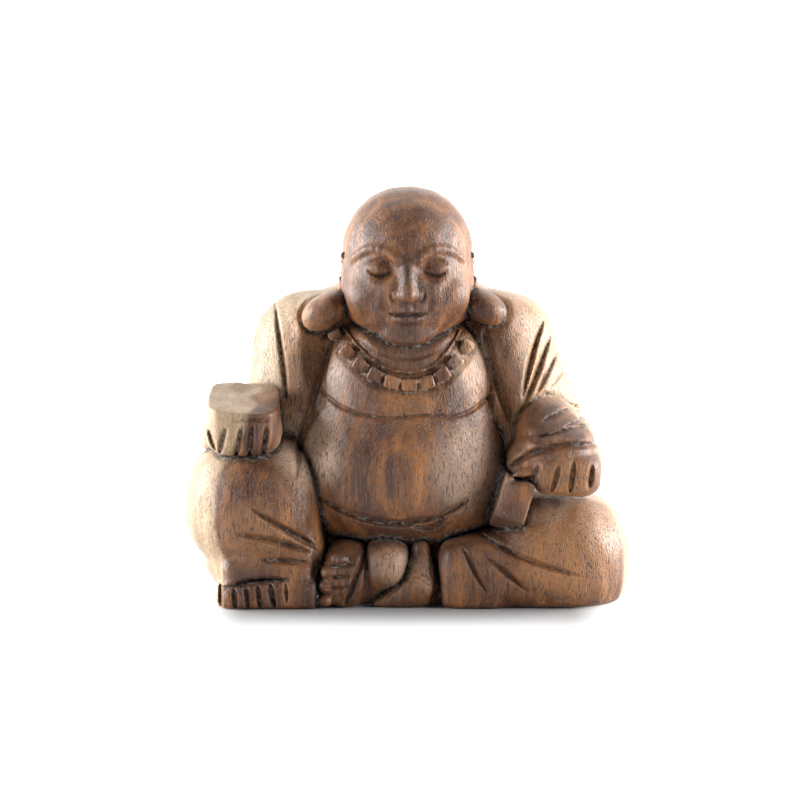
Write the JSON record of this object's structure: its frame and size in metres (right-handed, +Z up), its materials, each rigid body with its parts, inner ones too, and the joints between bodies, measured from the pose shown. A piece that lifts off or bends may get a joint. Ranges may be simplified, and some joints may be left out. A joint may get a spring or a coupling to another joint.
{
  "type": "buddha statue",
  "caption": "Hand-carved wooden figure of a stout seated monk in an open robe with a string of beads, standing free on its flat base.",
  "frame": {"origin": "middle of the flat base", "axes": "+Z up to the crown of the head, -Y the way the figure faces, +X to the figure's left hand"},
  "size_m": [0.1066, 0.064, 0.1],
  "materials": {
    "carved_wood": "oiled and waxed brown hardwood, satin",
    "carved_beads": "the same hardwood, rubbed lighter on the crowns"
  },
  "bodies": {
    "root": {"held_bundle": "carved_wood", "left_hand": "carved_wood", "right_hand": "carved_wood", "necklace_beads": "carved_beads", "necklace_strand": "carved_beads", "head": "carved_wood", "right_ear": "carved_wood", "left_ear": "carved_wood", "left_cuff": "carved_wood", "right_forearm": "carved_wood", "right_foot": "carved_wood", "left_foot": "carved_wood", "sash_end": "carved_wood", "lap_fold": "carved_wood", "belly": "carved_wood", "chest": "carved_wood", "neck": "carved_wood", "right_hem": "carved_wood", "right_leg": "carved_wood", "left_knee": "carved_wood", "left_shin": "carved_wood", "right_lapel": "carved_wood", "left_lapel": "carved_wood", "right_sleeve": "carved_wood", "left_sleeve": "carved_wood", "robe_collar": "carved_wood", "robe_skirt": "carved_wood", "robe_back": "carved_wood"}
  },
  "joints": []
}
